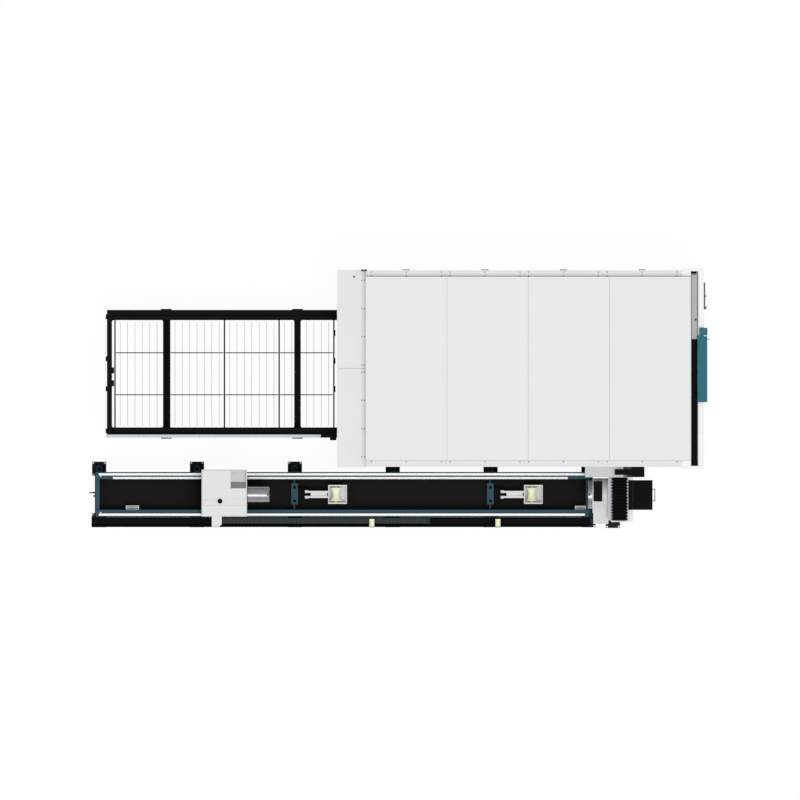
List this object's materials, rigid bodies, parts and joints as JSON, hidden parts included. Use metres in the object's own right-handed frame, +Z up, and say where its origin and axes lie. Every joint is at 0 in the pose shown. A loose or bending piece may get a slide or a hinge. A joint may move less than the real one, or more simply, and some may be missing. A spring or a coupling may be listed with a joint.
{
  "type": "sheet and tube laser cutting machine",
  "caption": "Enclosed sheet laser cutting machine with a two-level shuttle table at one end and a long tube-cutting line with rear and front chucks along its front.",
  "frame": {"origin": "on the floor, at the middle of the machine's plan", "axes": "+X along the machine towards the operator's end door, +Y from the tube line towards the rear, +Z up"},
  "size_m": [8.7, 3.632, 2.25],
  "materials": {
    "white_paint": "satin powder coat",
    "black_paint": "satin powder coat",
    "teal_paint": "satin paint",
    "frame_paint": "satin paint",
    "rail_steel": "ground",
    "dark_steel": "rolled",
    "chain_plastic": "moulded",
    "cream_plastic": "turned nylon",
    "glass": "laser safety glass",
    "red_plastic": "gloss",
    "bellows_cloth": "coated cloth",
    "strip_alu": "anodised"
  },
  "bodies": {
    "machine": {"cabin_frame": "frame_paint", "rear_panels": "white_paint", "front_panels": "white_paint", "roof_panels": "white_paint", "hood_rear": "white_paint", "hood_front": "white_paint", "end_wall": "white_paint", "end_gutter": "white_paint", "door_track": "black_paint", "teal_trims": "teal_paint", "control_panel": "black_paint", "cover_screws": "rail_steel", "machine_bed": "frame_paint", "x_rails": "rail_steel", "shuttle_frame": "black_paint", "shuttle_strip": "strip_alu", "tube_bed": "teal_paint", "bed_pan": "black_paint", "tube_rails": "rail_steel", "tube_feet": "dark_steel", "chain_tray": "black_paint", "drag_chain": "chain_plastic", "support_brackets": "teal_paint", "front_housing": "white_paint", "cut_chamber": "white_paint", "link_box": "white_paint", "bellows": "bellows_cloth"},
    "shuttle_door_body": {"shuttle_door": "white_paint"},
    "end_door_body": {"end_door": "teal_paint", "door_window": "glass"},
    "stop_button_body": {"stop_button": "red_plastic"},
    "selector_knob_body": {"selector_knob": "black_paint"},
    "gantry": {"gantry_beam": "teal_paint"},
    "head_carriage_body": {"head_carriage": "frame_paint"},
    "cutting_head_body": {"cutting_head": "white_paint"},
    "upper_pallet_body": {"upper_pallet": "black_paint", "upper_slats": "dark_steel"},
    "lower_pallet_body": {"lower_pallet": "black_paint", "lower_slats": "dark_steel"},
    "rear_carriage": {"carriage_base": "frame_paint", "carriage_cover": "white_paint"},
    "rear_chuck_body": {"rear_chuck": "rail_steel"},
    "support_arm_1_body": {"support_arm_1": "white_paint"},
    "support_arm_2_body": {"support_arm_2": "white_paint"},
    "support_roller_1_body": {"support_roller_1": "cream_plastic"},
    "support_roller_2_body": {"support_roller_2": "cream_plastic"},
    "loading_roller_1_body": {"loading_roller_1": "cream_plastic"},
    "loading_roller_2_body": {"loading_roller_2": "cream_plastic"},
    "front_chuck_body": {"front_chuck": "rail_steel"},
    "tube_saddle_body": {"tube_saddle": "frame_paint"},
    "tube_head_body": {"tube_head": "white_paint"},
    "drawer_body": {"parts_drawer": "black_paint"},
    "rear_jaw_1_body": {"rear_jaw_1": "dark_steel"},
    "front_jaw_1_body": {"front_jaw_1": "dark_steel"},
    "rear_jaw_2_body": {"rear_jaw_2": "dark_steel"},
    "front_jaw_2_body": {"front_jaw_2": "dark_steel"},
    "rear_jaw_3_body": {"rear_jaw_3": "dark_steel"},
    "front_jaw_3_body": {"front_jaw_3": "dark_steel"},
    "rear_jaw_4_body": {"rear_jaw_4": "dark_steel"},
    "front_jaw_4_body": {"front_jaw_4": "dark_steel"}
  },
  "joints": [
    {"name": "upper_pallet_slide", "type": "slide", "parent": "machine", "child": "upper_pallet_body", "axis": [1, 0, 0], "range_m": [0, 3.5]},
    {"name": "lower_pallet_slide", "type": "slide", "parent": "machine", "child": "lower_pallet_body", "axis": [1, 0, 0], "range_m": [-3.5, 0]},
    {"name": "shuttle_door_lift", "type": "slide", "parent": "machine", "child": "shuttle_door_body", "axis": [0, 0, 1], "range_m": [-0.6, 0]},
    {"name": "end_door_slide", "type": "slide", "parent": "machine", "child": "end_door_body", "axis": [0, 1, 0], "range_m": [-0.86, 0]},
    {"name": "stop_press", "type": "slide", "parent": "machine", "child": "stop_button_body", "axis": [-1, 0, 0], "range_m": [0, 0.005], "stiffness_N_per_m": 400},
    {"name": "selector_turn", "type": "hinge", "parent": "machine", "child": "selector_knob_body", "pos_m": [4.273, 1.432, 1.01], "axis": [1, 0, 0], "range_deg": [-45, 45]},
    {"name": "gantry_x", "type": "slide", "parent": "machine", "child": "gantry", "axis": [1, 0, 0], "range_m": [-3.1, 0]},
    {"name": "head_y", "type": "slide", "parent": "gantry", "child": "head_carriage_body", "axis": [0, 1, 0], "range_m": [-0.72, 0.72]},
    {"name": "head_z", "type": "slide", "parent": "head_carriage_body", "child": "cutting_head_body", "axis": [0, 0, 1], "range_m": [-0.3, 0]},
    {"name": "rear_chuck_x", "type": "slide", "parent": "machine", "child": "rear_carriage", "axis": [1, 0, 0], "range_m": [-1.35, 4.4], "deforming": ["drag_chain"]},
    {"name": "rear_chuck_spin", "type": "hinge", "parent": "rear_carriage", "child": "rear_chuck_body", "pos_m": [-2, -1.346, 0.95], "axis": [1, 0, 0], "continuous": true},
    {"name": "front_chuck_spin", "type": "hinge", "parent": "machine", "child": "front_chuck_body", "pos_m": [2.66, -1.346, 0.95], "axis": [1, 0, 0], "continuous": true},
    {"name": "rear_jaw_1_grip", "type": "slide", "parent": "rear_chuck_body", "child": "rear_jaw_1_body", "axis": [0, -1, 0], "range_m": [0, 0.02]},
    {"name": "rear_jaw_2_grip", "type": "slide", "parent": "rear_chuck_body", "child": "rear_jaw_2_body", "axis": [0, 0, -1], "range_m": [0, 0.02]},
    {"name": "rear_jaw_3_grip", "type": "slide", "parent": "rear_chuck_body", "child": "rear_jaw_3_body", "axis": [0, 1, 0], "range_m": [0, 0.02]},
    {"name": "rear_jaw_4_grip", "type": "slide", "parent": "rear_chuck_body", "child": "rear_jaw_4_body", "axis": [0, 0, 1], "range_m": [0, 0.02]},
    {"name": "front_jaw_1_grip", "type": "slide", "parent": "front_chuck_body", "child": "front_jaw_1_body", "axis": [0, -1, 0], "range_m": [0, 0.02]},
    {"name": "front_jaw_2_grip", "type": "slide", "parent": "front_chuck_body", "child": "front_jaw_2_body", "axis": [0, 0, -1], "range_m": [0, 0.02]},
    {"name": "front_jaw_3_grip", "type": "slide", "parent": "front_chuck_body", "child": "front_jaw_3_body", "axis": [0, 1, 0], "range_m": [0, 0.02]},
    {"name": "front_jaw_4_grip", "type": "slide", "parent": "front_chuck_body", "child": "front_jaw_4_body", "axis": [0, 0, 1], "range_m": [0, 0.02]},
    {"name": "support_lift_1", "type": "hinge", "parent": "machine", "child": "support_arm_1_body", "pos_m": [-1.31, -1.346, 0.56], "axis": [0, -1, 0], "range_deg": [0, 22]},
    {"name": "support_roll_1", "type": "hinge", "parent": "support_arm_1_body", "child": "support_roller_1_body", "pos_m": [-0.896, -1.346, 0.6], "axis": [0, 1, 0], "continuous": true},
    {"name": "support_lift_2", "type": "hinge", "parent": "machine", "child": "support_arm_2_body", "pos_m": [1.431, -1.346, 0.56], "axis": [0, -1, 0], "range_deg": [0, 22]},
    {"name": "support_roll_2", "type": "hinge", "parent": "support_arm_2_body", "child": "support_roller_2_body", "pos_m": [1.845, -1.346, 0.6], "axis": [0, 1, 0], "continuous": true},
    {"name": "loading_roll_1", "type": "hinge", "parent": "machine", "child": "loading_roller_1_body", "pos_m": [-0.394, -1.743, 0.652], "axis": [0, 1, 0], "continuous": true},
    {"name": "loading_roll_2", "type": "hinge", "parent": "machine", "child": "loading_roller_2_body", "pos_m": [1.371, -1.743, 0.652], "axis": [0, 1, 0], "continuous": true},
    {"name": "tube_saddle_y", "type": "slide", "parent": "machine", "child": "tube_saddle_body", "axis": [0, 1, 0], "range_m": [-0.31, 0], "deforming": ["bellows"]},
    {"name": "tube_head_z", "type": "slide", "parent": "tube_saddle_body", "child": "tube_head_body", "axis": [0, 0, 1], "range_m": [-0.11, 0]},
    {"name": "drawer_slide", "type": "slide", "parent": "machine", "child": "drawer_body", "axis": [1, 0, 0], "range_m": [0, 0.25]}
  ],
  "couplings": [
    {"joint": "lower_pallet_slide", "follows": "upper_pallet_slide", "ratio": -1},
    {"joint": "rear_jaw_2_grip", "follows": "rear_jaw_1_grip", "ratio": 1},
    {"joint": "rear_jaw_3_grip", "follows": "rear_jaw_1_grip", "ratio": 1},
    {"joint": "rear_jaw_4_grip", "follows": "rear_jaw_1_grip", "ratio": 1},
    {"joint": "front_jaw_2_grip", "follows": "front_jaw_1_grip", "ratio": 1},
    {"joint": "front_jaw_3_grip", "follows": "front_jaw_1_grip", "ratio": 1},
    {"joint": "front_jaw_4_grip", "follows": "front_jaw_1_grip", "ratio": 1}
  ]
}
